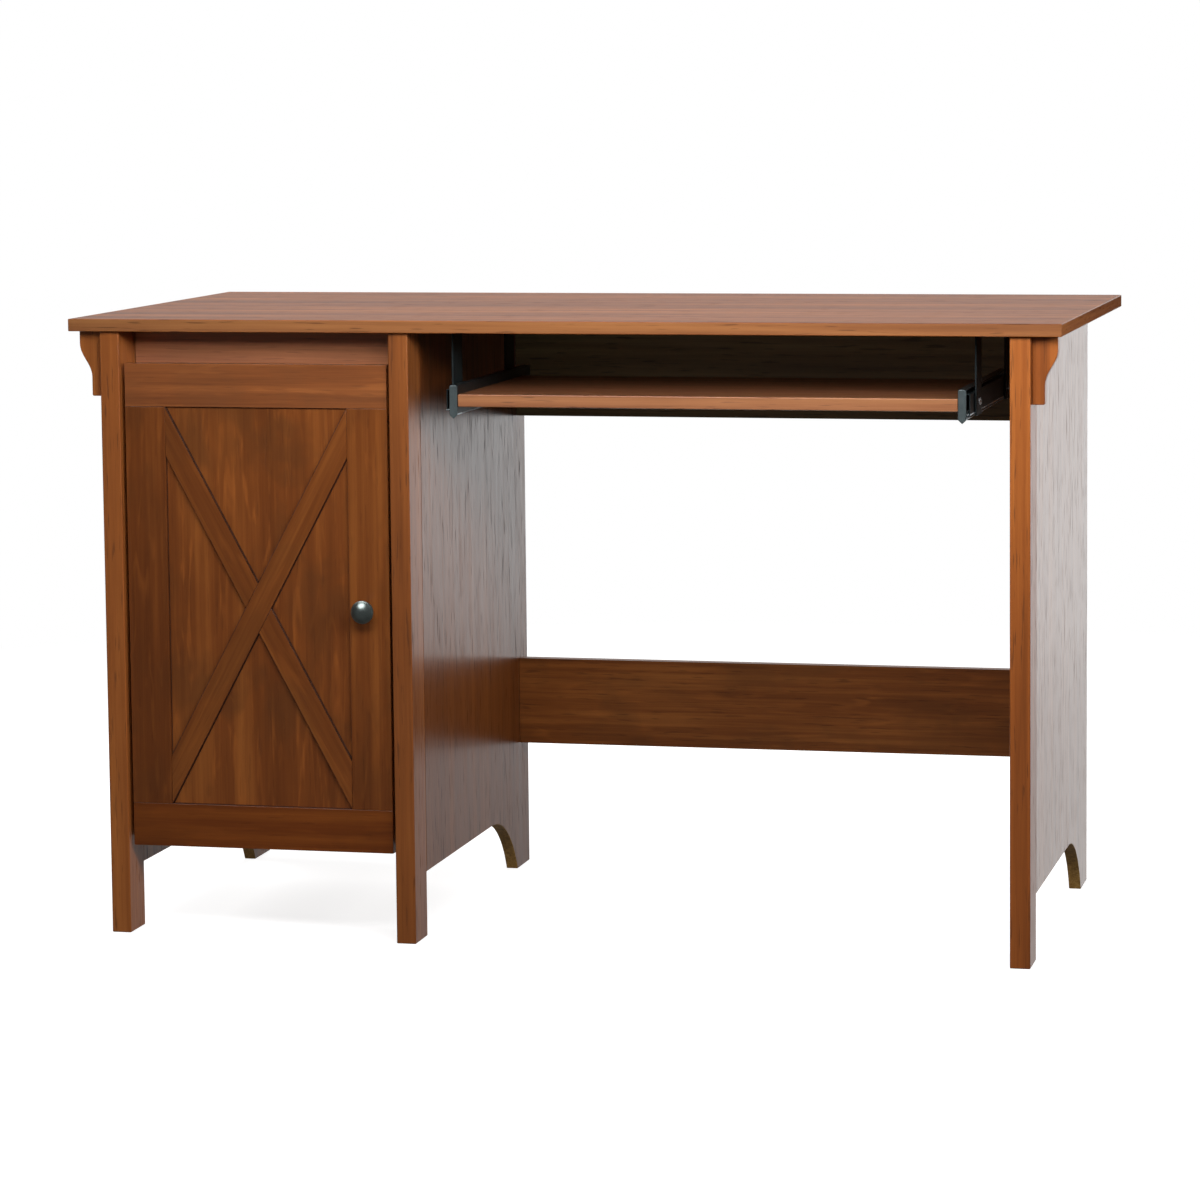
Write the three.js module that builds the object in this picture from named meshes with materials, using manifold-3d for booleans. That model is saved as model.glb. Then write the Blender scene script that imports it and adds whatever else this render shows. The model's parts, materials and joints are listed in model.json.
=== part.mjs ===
// Computer desk with a cupboard on the left and a sliding keyboard tray over the knee space.
// Millimetres, +X to the user's right, +Y to the back, +Z up. The origin is on the floor, in the
// middle of the desk's bounding box.
import * as THREE from 'three';
import { mergeVertices } from 'three/addons/utils/BufferGeometryUtils.js';
import Module from 'manifold-3d';

const wasm = await Module();
wasm.setup();

// ---- driving dimensions ----
const GAP = 0.3;                    // assembly gap left between touching pieces
const HEIGHT = 750;
const BOARD = 15;                   // thickness of every board
const TOP_WIDTH = 1200;
const TOP_DEPTH = 600;
const TOP_OVERHANG_SIDE = 37;
const TOP_OVERHANG_FRONT = 8;
const FRAME_DEPTH = 540;            // front of the legs to the back edge of the gables
const LEG_WIDTH = 24;
const LEG_DEPTH = 51;
const DOOR_OPENING = 337.5;
const KNOB_PAST_TOP = 10;           // how far the knob stands out past the top's front edge

const GABLE_NOTCH_HEIGHT = 79;
const GABLE_ARC_RADIUS = 138;
const GABLE_REAR_FOOT = 62;         // length of the rear foot on the floor

const CORBEL = { setback: 12, thickness: 16, upper: 30, lower: 15, height: 79, straight: 15, curve: 41 };

const APRON = { setback: 57, height: 70 };
const CUPBOARD_FLOOR_BOTTOM = 112;
const SHELF_BOTTOM = 398;
const BACK_THICKNESS = 3;
const BACK_INSET = 27;              // back edge of the gables to the back of the rails
const BACK_RAIL_HEIGHT = 60;
const MODESTY_HEIGHT = 140;
const STRETCHER = { bottom: 164, height: 112 };
const SHELF_PIN = { radius: 2.5, reach: 6 };

const DOOR = {
  gap: 4.5, setback: 6, bottom: 108, top: 696,
  panel: 12.5, overlay: 3.5, rail: 52, stile: 50, brace: 28,
};
const KNOB = { x: -235, z: 402, radius: 14, neck: 6 };
const KNOB_SCREW = { radius: 2, headRadius: 4, headHeight: 2.4, depth: 9 };

const HINGE = {
  fromEnd: 100, pivotFromEdge: 2.8, pivotFromFront: 5, pinRadius: 1.1, bore: 1.16,
  armHeight: 12, armThickness: 2.2, barrelRadius: 1.5, pocketDepth: 8.5, pocketHeight: 19,
  earThickness: 2, plateThickness: 1.8, plateHeight: 44, plateLength: 32, plateFromFront: 52,
};

const TRAY = { width: 596, depth: 300, top: 662.5, setback: 2 };
const SLIDE = {
  length: 340, height: 35, bottom: 638, wall: 1.2, trayRailWidth: 10, frontGap: 2.5,
  deskRailHeight: 25, deskRailInner: 4, deskRailOuter: 14.2,
};
const RETAINER = { length: 88, height: 30.4, thickness: 0.8, inner: 2.4, outer: 9, start: 126 };
const END_CAP = { width: 10, thickness: 3, height: 35, point: 4.5 };
const HANGER = { inner: 14.6, thickness: 2, width: 40, flange: 25, bottom: 640, holeRadius: 2.2 };
const HANGER_FRONTS = [38, 279];    // distances of the hangers from the front of the legs
const HANGER_SCREW = { radius: 2, headRadius: 4.2, headHeight: 2.2, z: 655.5 };
const CAM = { radius: 7.5, depth: 10, fromEnd: 24 };

// ---- places worked out from the driving dimensions ----
const TOP_BOTTOM = HEIGHT - BOARD;
const topFront = -TOP_DEPTH / 2 + KNOB_PAST_TOP / 2;
const topBack = topFront + TOP_DEPTH;
const legFront = topFront + TOP_OVERHANG_FRONT;
const legBack = legFront + LEG_DEPTH;
const frameBack = legFront + FRAME_DEPTH;
const frameRight = TOP_WIDTH / 2 - TOP_OVERHANG_SIDE;
const frameLeft = -frameRight;
const legLefts = {
  left: frameLeft,
  middle: frameLeft + LEG_WIDTH + DOOR_OPENING,
  right: frameRight - LEG_WIDTH,
};
const gableInner = frameLeft + LEG_WIDTH;                              // cupboard's left wall face
const cupboardRight = legLefts.middle + LEG_WIDTH - BOARD;             // its right wall face
const kneeLeft = legLefts.middle + LEG_WIDTH;
const kneeRight = frameRight - BOARD;
const backRailFront = frameBack - BACK_INSET - BOARD;
const backRailBack = frameBack - BACK_INSET;
const doorFront = legFront + DOOR.setback;
const doorBack = doorFront + DOOR.overlay + DOOR.panel;
const doorLeft = gableInner + DOOR.gap;
const doorRight = legLefts.middle - DOOR.gap;
const overlayBack = doorFront + DOOR.overlay;
const knobBack = doorFront - GAP;
const knobFront = topFront - KNOB_PAST_TOP;
const trayCentre = (kneeLeft + legLefts.right) / 2;
const trayFront = legFront + TRAY.setback;
const slideFront = trayFront + SLIDE.frontGap;

// ---- finishes ----
function finish(color, roughness, metalness) {
  return new THREE.MeshStandardMaterial({ color, roughness, metalness });
}
const laminate = () => finish(0x7a4526, 0.38, 0);
const hardboard = () => finish(0x5a3a26, 0.7, 0);
const darkSteel = () => finish(0x3a4044, 0.42, 0.9);
const zincSteel = () => finish(0x8d949a, 0.35, 0.9);
const pewter = () => finish(0x4a4744, 0.32, 1);
const brightSteel = () => finish(0xc4c6c8, 0.25, 1);

const desk = new THREE.Group();

// ---- geometry helpers ----
const ALONG_X = new THREE.Matrix4().makeBasis(
  new THREE.Vector3(0, 1, 0), new THREE.Vector3(0, 0, 1), new THREE.Vector3(1, 0, 0));
const ALONG_Y = new THREE.Matrix4().makeBasis(
  new THREE.Vector3(1, 0, 0), new THREE.Vector3(0, 0, 1), new THREE.Vector3(0, -1, 0));

function addMesh(name, geometry, material) {
  const mesh = new THREE.Mesh(geometry, material);
  mesh.name = name;
  desk.add(mesh);
  return mesh;
}

function block([x0, x1], [y0, y1], [z0, z1]) {
  const geometry = new THREE.BoxGeometry(x1 - x0, y1 - y0, z1 - z0);
  return geometry.translate((x0 + x1) / 2, (y0 + y1) / 2, (z0 + z1) / 2);
}

function polygon(points) {
  return new THREE.Shape(points.map(([u, v]) => new THREE.Vector2(u, v)));
}

function prism(shape, depth, curveSegments = 12) {
  return new THREE.ExtrudeGeometry(shape, { depth, bevelEnabled: false, curveSegments });
}

// An outline in Y and Z, from x0 to x1.
function prismX(shape, x0, x1, curveSegments) {
  return prism(shape, x1 - x0, curveSegments).applyMatrix4(ALONG_X).translate(x0, 0, 0);
}

// An outline in X and Z, from y0 to y1.
function prismY(shape, y0, y1, curveSegments) {
  return prism(shape, y1 - y0, curveSegments).applyMatrix4(ALONG_Y).translate(0, y1, 0);
}

// An outline in X and Y, from z0 to z1.
function prismZ(shape, z0, z1, curveSegments) {
  return prism(shape, z1 - z0, curveSegments).translate(0, 0, z0);
}

function rodZ(x, y, z0, z1, radius, sides = 24) {
  const geometry = new THREE.CylinderGeometry(radius, radius, z1 - z0, sides);
  return geometry.rotateX(Math.PI / 2).translate(x, y, (z0 + z1) / 2);
}

function rodY(x, z, y0, y1, radius, sides = 24) {
  const geometry = new THREE.CylinderGeometry(radius, radius, y1 - y0, sides);
  return geometry.translate(x, (y0 + y1) / 2, z);
}

function rodX(y, z, x0, x1, radius, sides = 24) {
  const geometry = new THREE.CylinderGeometry(radius, radius, x1 - x0, sides);
  return geometry.rotateZ(Math.PI / 2).translate((x0 + x1) / 2, y, z);
}

function toSolid(geometry) {
  const bare = geometry.clone();
  bare.deleteAttribute('normal');
  bare.deleteAttribute('uv');
  const merged = mergeVertices(bare, 1e-4);
  return new wasm.Manifold(new wasm.Mesh({
    numProp: 3,
    vertProperties: Float32Array.from(merged.attributes.position.array),
    triVerts: Uint32Array.from(merged.index.array),
  }));
}

function toGeometry(solid) {
  const mesh = solid.getMesh();
  const geometry = new THREE.BufferGeometry();
  geometry.setAttribute('position', new THREE.BufferAttribute(Float32Array.from(mesh.vertProperties), 3));
  geometry.setIndex(new THREE.BufferAttribute(Uint32Array.from(mesh.triVerts), 1));
  geometry.computeVertexNormals();
  return geometry;
}

function cut(geometry, ...tools) {
  return toGeometry(tools.reduce((solid, tool) => solid.subtract(toSolid(tool)), toSolid(geometry)));
}

function join(...pieces) {
  return toGeometry(pieces.map(toSolid).reduce((all, piece) => all.add(piece)));
}

// ---- top ----
function makeTop() {
  const width = [-TOP_WIDTH / 2, TOP_WIDTH / 2];
  addMesh('desktop', block(width, [topFront, topBack], [TOP_BOTTOM, HEIGHT]), laminate());
}

// ---- gables: a front leg, and a board behind it with an arched notch along its foot ----
function gableOutline() {
  const front = legBack + GAP;
  const footFront = frameBack - GABLE_REAR_FOOT;
  const arcCentreZ = GABLE_NOTCH_HEIGHT - GABLE_ARC_RADIUS;
  const reach = Math.sqrt(GABLE_ARC_RADIUS ** 2 - arcCentreZ ** 2);
  const arcCentreY = footFront - reach;
  const outline = new THREE.Shape();
  outline.moveTo(front, GABLE_NOTCH_HEIGHT);
  outline.lineTo(arcCentreY, GABLE_NOTCH_HEIGHT);
  const floorAngle = Math.atan2(-arcCentreZ, reach);
  outline.absarc(arcCentreY, arcCentreZ, GABLE_ARC_RADIUS, Math.PI / 2, floorAngle, true);
  outline.lineTo(frameBack, 0);
  outline.lineTo(frameBack, TOP_BOTTOM - GAP);
  outline.lineTo(front, TOP_BOTTOM - GAP);
  return outline;
}

function makeGable(side) {
  const left = legLefts[side];
  const right = left + LEG_WIDTH;
  addMesh(`front_leg_${side}`, block([left, right], [legFront, legBack], [0, TOP_BOTTOM - GAP]), laminate());
  addMesh(`gable_${side}`, prismX(gableOutline(), right - BOARD, right, 16), laminate());
}

// An S-shaped bracket against the outer side of a leg, under the top.
function makeCorbel(side, outward, legFace) {
  const { setback, thickness, upper, lower, height, straight, curve } = CORBEL;
  const top = TOP_BOTTOM - GAP;
  const bend = top - straight;
  const foot = bend - curve;
  const x = (reach) => legFace + outward * reach;
  const outline = new THREE.Shape();
  outline.moveTo(x(GAP), top);
  outline.lineTo(x(upper), top);
  outline.lineTo(x(upper), bend);
  outline.bezierCurveTo(x(upper), bend - curve * 0.4, x(lower), foot + curve * 0.4, x(lower), foot);
  outline.lineTo(x(lower), top - height + 2);
  outline.quadraticCurveTo(x(lower), top - height, x(lower - 2), top - height);
  outline.lineTo(x(GAP), top - height);
  const front = legFront + setback;
  addMesh(`corbel_${side}`, prismY(outline, front, front + thickness, 10), laminate());
}

// ---- cupboard ----
function shelfPinPlaces() {
  const frontY = legBack + 60;
  const backY = backRailFront - 60;
  const z = SHELF_BOTTOM - SHELF_PIN.radius - GAP;
  return [['front', frontY, z], ['back', backY, z]];
}

function makeCupboard() {
  const inside = [gableInner + GAP, cupboardRight - GAP];
  const underTop = TOP_BOTTOM - GAP;
  const apronFront = legFront + APRON.setback;
  const apron = block(inside, [apronFront, apronFront + BOARD], [TOP_BOTTOM - APRON.height, underTop]);
  addMesh('cupboard_apron', apron, laminate());
  const floorZ = [CUPBOARD_FLOOR_BOTTOM, CUPBOARD_FLOOR_BOTTOM + BOARD];
  addMesh('cupboard_floor', block(inside, [legBack, backRailBack], floorZ), laminate());
  const railZ = [TOP_BOTTOM - BACK_RAIL_HEIGHT, underTop];
  const railBack = backRailBack - BACK_THICKNESS - GAP;
  addMesh('cupboard_back_rail', block(inside, [railBack - BOARD, railBack], railZ), laminate());
  const backBottom = CUPBOARD_FLOOR_BOTTOM + BOARD + GAP;
  const backY = [backRailBack - BACK_THICKNESS, backRailBack];
  addMesh('cupboard_back', block(inside, backY, [backBottom, underTop]), hardboard());
  const shelfX = [gableInner + 1, cupboardRight - 1];
  const shelfY = [legBack + 20, railBack - BOARD - 5];
  addMesh('cupboard_shelf', block(shelfX, shelfY, [SHELF_BOTTOM, SHELF_BOTTOM + BOARD]), laminate());
  for (const [row, y, z] of shelfPinPlaces()) {
    const left = rodX(y, z, inside[0], inside[0] + SHELF_PIN.reach, SHELF_PIN.radius, 16);
    addMesh(`shelf_pin_${row}_left`, left, zincSteel());
    const right = rodX(y, z, inside[1] - SHELF_PIN.reach, inside[1], SHELF_PIN.radius, 16);
    addMesh(`shelf_pin_${row}_right`, right, zincSteel());
  }
}

// ---- rails across the back of the knee space, held by a cam lock at each end ----
function makeBackRail(name, z0, z1) {
  const x = [kneeLeft + GAP, kneeRight - GAP];
  const camZ = (z0 + z1) / 2;
  const places = { left: x[0] + CAM.fromEnd, right: x[1] - CAM.fromEnd };
  const bores = Object.values(places).map((camX) => (
    rodY(camX, camZ, backRailBack - CAM.depth - GAP, backRailBack + 1, CAM.radius + GAP)));
  addMesh(name, cut(block(x, [backRailFront, backRailBack], [z0, z1]), ...bores), laminate());
  for (const [end, camX] of Object.entries(places)) {
    const cam = rodY(camX, camZ, backRailBack - CAM.depth, backRailBack, CAM.radius);
    addMesh(`cam_lock_${name}_${end}`, cam, zincSteel());
  }
}

// ---- door: a flat panel with a frame and a crossed brace laid on its face ----
function braceOutlines() {
  const left = doorLeft + DOOR.stile + GAP;
  const right = doorRight - DOOR.stile - GAP;
  const bottom = DOOR.bottom + DOOR.rail + GAP;
  const top = DOOR.top - DOOR.rail - GAP;
  const halfWidth = (right - left) / 2;
  const halfHeight = (top - bottom) / 2;
  const centreX = (left + right) / 2;
  const centreZ = (top + bottom) / 2;
  const diagonal = Math.hypot(halfWidth, halfHeight);
  // Each bar's upper edge starts in a corner of the frame, so the bar leans a little past the diagonal.
  const lean = Math.atan2(halfWidth, halfHeight) + Math.asin(DOOR.brace / 2 / diagonal);
  const edgeOnStile = DOOR.brace / Math.sin(lean);
  const place = (u, v) => [centreX + u, centreZ + v];
  const long = [
    place(halfWidth, halfHeight), place(-halfWidth, -halfHeight + edgeOnStile),
    place(-halfWidth, -halfHeight), place(halfWidth, halfHeight - edgeOnStile),
  ];
  // The crossing bar is in two halves that stop at the long bar.
  const half = DOOR.brace / 2 + GAP;
  const along = (bar, offset) => [
    Math.sin(bar) * offset[1] + Math.cos(bar) * offset[0],
    Math.cos(bar) * offset[1] - Math.sin(bar) * offset[0],
  ];
  const meet = (side, edge) => {
    const reach = (half + edge * DOOR.brace / 2 * Math.cos(2 * lean)) / Math.sin(2 * lean);
    const [u, v] = along(-lean, [edge * DOOR.brace / 2, reach]);
    return place(side * u, side * v);
  };
  const upper = [
    place(-halfWidth, halfHeight), place(-halfWidth, halfHeight - edgeOnStile), meet(1, -1), meet(1, 1),
  ];
  const lower = [
    place(halfWidth, -halfHeight), place(halfWidth, -halfHeight + edgeOnStile), meet(-1, -1), meet(-1, 1),
  ];
  return { long, upper, lower };
}

function makeDoor() {
  const face = [doorFront, overlayBack - GAP];
  const width = [doorLeft, doorRight];
  const { bottom, top, rail, stile } = DOOR;
  const pockets = hingeHeights().map((z) => block(
    [doorLeft - 1, doorLeft + HINGE.pocketDepth], [overlayBack - 1, doorBack + 1],
    [z - HINGE.pocketHeight / 2, z + HINGE.pocketHeight / 2]));
  const knobBore = rodY(KNOB.x, KNOB.z, overlayBack - 1, doorBack + 1, KNOB_SCREW.radius + GAP);
  const panel = cut(block(width, [overlayBack, doorBack], [bottom, top]), ...pockets, knobBore);
  addMesh('door_panel', panel, laminate());
  addMesh('door_rail_top', block(width, face, [top - rail, top]), laminate());
  addMesh('door_rail_bottom', block(width, face, [bottom, bottom + rail]), laminate());
  const between = [bottom + rail + GAP, top - rail - GAP];
  addMesh('door_stile_left', block([doorLeft, doorLeft + stile], face, between), laminate());
  const rightStile = block([doorRight - stile, doorRight], face, between);
  const stileBore = rodY(KNOB.x, KNOB.z, doorFront - 1, overlayBack + 1, KNOB_SCREW.radius + GAP);
  addMesh('door_stile_right', cut(rightStile, stileBore), laminate());
  for (const [name, points] of Object.entries(braceOutlines())) {
    addMesh(`door_brace_${name}`, prismY(polygon(points), ...face), laminate());
  }
}

// ---- knob: a turned mushroom on a machine screw through the door ----
function makeKnob() {
  const { radius, neck } = KNOB;
  const projection = knobBack - knobFront;
  const bore = KNOB_SCREW.radius + GAP;
  const profile = new THREE.Path();
  profile.moveTo(bore, 0);
  profile.lineTo(neck + 2.5, 0);
  profile.quadraticCurveTo(neck, 2, neck - 0.5, 7);
  profile.quadraticCurveTo(neck, 12, radius - 2.5, 14);
  profile.quadraticCurveTo(radius, 15, radius, 17);
  profile.quadraticCurveTo(radius - 1, 22.5, 0, projection);
  const outer = profile.getPoints(7);
  outer.push(new THREE.Vector2(0, KNOB_SCREW.depth + GAP));
  outer.push(new THREE.Vector2(bore, KNOB_SCREW.depth + GAP));
  outer.push(new THREE.Vector2(bore, 0));
  const turned = mergeVertices(new THREE.LatheGeometry(outer, 32));
  turned.rotateX(Math.PI).translate(KNOB.x, knobBack, KNOB.z);
  addMesh('knob', turned, pewter());
  const headFront = doorBack + GAP;
  const headBack = headFront + KNOB_SCREW.headHeight;
  const shank = rodY(KNOB.x, KNOB.z, knobBack - KNOB_SCREW.depth, headFront + 1, KNOB_SCREW.radius, 16);
  const head = rodY(KNOB.x, KNOB.z, headFront, headBack, KNOB_SCREW.headRadius, 20);
  addMesh('knob_screw', join(shank, head), brightSteel());
}

// ---- hinges: a swan-neck arm on the gable reaches a pin hidden in the door's edge ----
function hingeHeights() {
  return [DOOR.bottom + HINGE.fromEnd, DOOR.top - HINGE.fromEnd];
}

function makeHinge(level, z) {
  const pivotX = doorLeft + HINGE.pivotFromEdge;
  const pivotY = doorFront + HINGE.pivotFromFront;
  const half = HINGE.armHeight / 2;
  const plateX = [gableInner + GAP, gableInner + GAP + HINGE.plateThickness];
  const plateFront = legFront + HINGE.plateFromFront;
  const plateY = [plateFront, plateFront + HINGE.plateLength];
  const plateZ = [z - HINGE.plateHeight / 2, z + HINGE.plateHeight / 2];
  addMesh(`hinge_plate_${level}`, block(plateX, plateY, plateZ), zincSteel());

  const armLeft = plateX[1] + GAP;
  const armRight = armLeft + HINGE.armThickness;
  const neckFoot = doorBack + 6;
  const r = HINGE.barrelRadius;
  const arm = new THREE.Shape();
  arm.moveTo(armLeft, plateY[1] - 2);
  arm.lineTo(armLeft, neckFoot + 3);
  arm.lineTo(pivotX - r, neckFoot - 3);
  arm.lineTo(pivotX - r, pivotY);
  arm.absarc(pivotX, pivotY, r, Math.PI, 2 * Math.PI, false);
  arm.lineTo(pivotX + r, neckFoot - 1);
  arm.lineTo(armRight, neckFoot + 6);
  arm.lineTo(armRight, plateY[1] - 2);
  const eye = new THREE.Path();
  eye.absarc(pivotX, pivotY, HINGE.bore, 0, 2 * Math.PI, true);
  arm.holes.push(eye);
  addMesh(`hinge_arm_${level}`, prismZ(arm, z - half, z + half, 12), zincSteel());

  const pocketTop = HINGE.pocketHeight / 2 - GAP;
  const cupX = [doorLeft + 0.6, doorLeft + HINGE.pocketDepth - GAP];
  const cupY = [overlayBack + GAP, doorBack];
  const ear = (z0, z1) => block(cupX, cupY, [z0, z1]);
  const web = block([cupX[1] - 1.5, cupX[1]], cupY, [z - pocketTop, z + pocketTop]);
  const ears = [
    ear(z - pocketTop, z - pocketTop + HINGE.earThickness),
    ear(z + pocketTop - HINGE.earThickness, z + pocketTop),
  ];
  const pinBore = rodZ(pivotX, pivotY, z - pocketTop - 1, z + pocketTop + 1, HINGE.bore);
  addMesh(`hinge_cup_${level}`, cut(join(web, ...ears), pinBore), zincSteel());
  const pin = rodZ(pivotX, pivotY, z - pocketTop, z + pocketTop, HINGE.pinRadius);
  addMesh(`hinge_pin_${level}`, pin, brightSteel());
}

// ---- keyboard tray, its slides and the hangers that carry them ----
function makeTray() {
  const half = TRAY.width / 2;
  const x = [trayCentre - half, trayCentre + half];
  const y = [trayFront, trayFront + TRAY.depth];
  addMesh('keyboard_tray', block(x, y, [TRAY.top - BOARD, TRAY.top]), laminate());
}

// A C-shaped channel along Y. Offsets are measured outward from the tray's edge.
function channel(x, web, lip, z0, z1, wall) {
  const outer = web < lip ? web + wall : web - wall;
  return polygon([
    [x(web), z0], [x(lip), z0], [x(lip), z0 + wall], [x(outer), z0 + wall],
    [x(outer), z1 - wall], [x(lip), z1 - wall], [x(lip), z1], [x(web), z1],
  ]);
}

function makeSlide(side, outward) {
  const edge = trayCentre + outward * TRAY.width / 2;
  const x = (offset) => edge + outward * offset;
  const slideBack = slideFront + SLIDE.length;
  const top = SLIDE.bottom + SLIDE.height;
  const middle = (SLIDE.bottom + top) / 2;

  const trayRail = channel(x, GAP, SLIDE.trayRailWidth, SLIDE.bottom, top, SLIDE.wall);
  addMesh(`tray_rail_${side}`, prismY(trayRail, slideFront, slideBack), darkSteel());

  const deskRailHalf = SLIDE.deskRailHeight / 2;
  const deskRail = channel(
    x, SLIDE.deskRailOuter, SLIDE.deskRailInner, middle - deskRailHalf, middle + deskRailHalf, SLIDE.wall);
  addMesh(`desk_rail_${side}`, prismY(deskRail, slideFront, slideBack), darkSteel());

  const { inner, outer, thickness } = RETAINER;
  const cageHalf = RETAINER.height / 2;
  const cage = channel(x, inner, outer, middle - cageHalf, middle + cageHalf, thickness);
  const cageFront = slideFront + RETAINER.start;
  addMesh(`ball_retainer_${side}`, prismY(cage, cageFront, cageFront + RETAINER.length), zincSteel());

  const capLeft = GAP;
  const capRight = END_CAP.width;
  const capBottom = top - END_CAP.height;
  const cap = polygon([
    [x(capLeft), capBottom], [x((capLeft + capRight) / 2), capBottom - END_CAP.point],
    [x(capRight), capBottom], [x(capRight), top - 2], [x(capRight - 2), top], [x(capLeft), top],
  ]);
  const capBack = slideFront - GAP;
  addMesh(`slide_end_cap_${side}`, prismY(cap, capBack - END_CAP.thickness, capBack), zincSteel());

  for (const [index, distance] of HANGER_FRONTS.entries()) {
    makeHanger(`${index === 0 ? 'front' : 'back'}_${side}`, x, legFront + distance);
  }
}

// An angle bracket that hangs from the top and holds a slide on its inner face.
function makeHanger(place, x, front) {
  const { inner, thickness, width, flange, bottom, holeRadius } = HANGER;
  const top = TOP_BOTTOM - GAP;
  const outline = polygon([
    [x(inner), bottom], [x(inner + thickness), bottom], [x(inner + thickness), top - thickness],
    [x(inner + flange), top - thickness], [x(inner + flange), top], [x(inner), top],
  ]);
  const centre = front + width / 2;
  const rod = (from, to, radius, sides) => {
    const [x0, x1] = [x(from), x(to)].sort((a, b) => a - b);
    return rodX(centre, HANGER_SCREW.z, x0, x1, radius, sides);
  };
  const hole = rod(inner - 1, inner + thickness + 1, holeRadius, 16);
  addMesh(`hanger_${place}`, cut(prismY(outline, front, front + width), hole), darkSteel());
  const seat = inner + thickness + GAP;
  const crown = seat + HANGER_SCREW.headHeight;
  const head = rod(seat, crown, HANGER_SCREW.headRadius, 20);
  const shank = rod(inner - 0.1, crown - 0.5, HANGER_SCREW.radius, 16);
  addMesh(`hanger_screw_${place}`, join(head, shank), brightSteel());
}

makeTop();
for (const side of Object.keys(legLefts)) {
  makeGable(side);
}
makeCorbel('left', -1, frameLeft);
makeCorbel('right', 1, frameRight);
makeCupboard();
makeBackRail('modesty_panel', TOP_BOTTOM - MODESTY_HEIGHT, TOP_BOTTOM - GAP);
makeBackRail('stretcher', STRETCHER.bottom, STRETCHER.bottom + STRETCHER.height);
makeDoor();
makeKnob();
for (const [index, z] of hingeHeights().entries()) {
  makeHinge(index === 0 ? 'lower' : 'upper', z);
}
makeTray();
makeSlide('left', -1);
makeSlide('right', 1);

export default desk;
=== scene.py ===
"""A computer desk with a cross-braced cupboard door and a keyboard tray on slides.

The laminate boards are replaced by boards with eased edges and wood-grain film, the knob, screws, cam
locks and slides by turned, stamped and folded pieces. The two rear boards, which hold the cam locks in
their bores, keep their frame shapes, and so do hangers, hinges, ball retainers and pins.
"""
import json
import math

import bpy
import numpy as np
from mathutils import Matrix, Vector


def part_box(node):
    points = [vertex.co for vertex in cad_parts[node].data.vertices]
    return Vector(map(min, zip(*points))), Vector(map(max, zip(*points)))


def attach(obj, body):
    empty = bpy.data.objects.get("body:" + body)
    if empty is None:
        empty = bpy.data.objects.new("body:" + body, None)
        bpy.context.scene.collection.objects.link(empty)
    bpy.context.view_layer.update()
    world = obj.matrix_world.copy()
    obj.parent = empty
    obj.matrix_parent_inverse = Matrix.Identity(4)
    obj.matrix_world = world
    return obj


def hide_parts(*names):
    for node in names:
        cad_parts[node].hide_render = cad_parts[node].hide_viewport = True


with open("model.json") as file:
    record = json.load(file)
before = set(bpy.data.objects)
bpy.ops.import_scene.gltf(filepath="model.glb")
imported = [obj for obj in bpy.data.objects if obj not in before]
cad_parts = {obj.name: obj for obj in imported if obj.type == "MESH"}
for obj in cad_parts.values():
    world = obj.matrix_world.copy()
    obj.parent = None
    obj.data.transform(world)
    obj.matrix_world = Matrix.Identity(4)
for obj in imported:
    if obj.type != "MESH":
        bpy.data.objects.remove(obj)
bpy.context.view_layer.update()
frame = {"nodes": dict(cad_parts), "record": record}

MM = 0.001
ACROSS = {"X": (1, 2), "Y": (0, 2), "Z": (0, 1)}     # the two axes of an outline, for each run direction
INDEX = {"X": 0, "Y": 1, "Z": 2}


# ---- shader nodes ----
class Socket:
    """A number or a shader socket, joined by Math nodes when it meets an operator."""

    def __init__(self, shader, link):
        self.shader = shader
        self.link = link

    def joined(self, operation, first, second):
        return self.shader.node("ShaderNodeMath", {"operation": operation}, [first, second])[0]

    def __add__(self, other):
        return self.joined("ADD", self, other)

    def __radd__(self, other):
        return self.joined("ADD", other, self)

    def __sub__(self, other):
        return self.joined("SUBTRACT", self, other)

    def __rsub__(self, other):
        return self.joined("SUBTRACT", other, self)

    def __mul__(self, other):
        return self.joined("MULTIPLY", self, other)

    def __rmul__(self, other):
        return self.joined("MULTIPLY", other, self)


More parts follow.
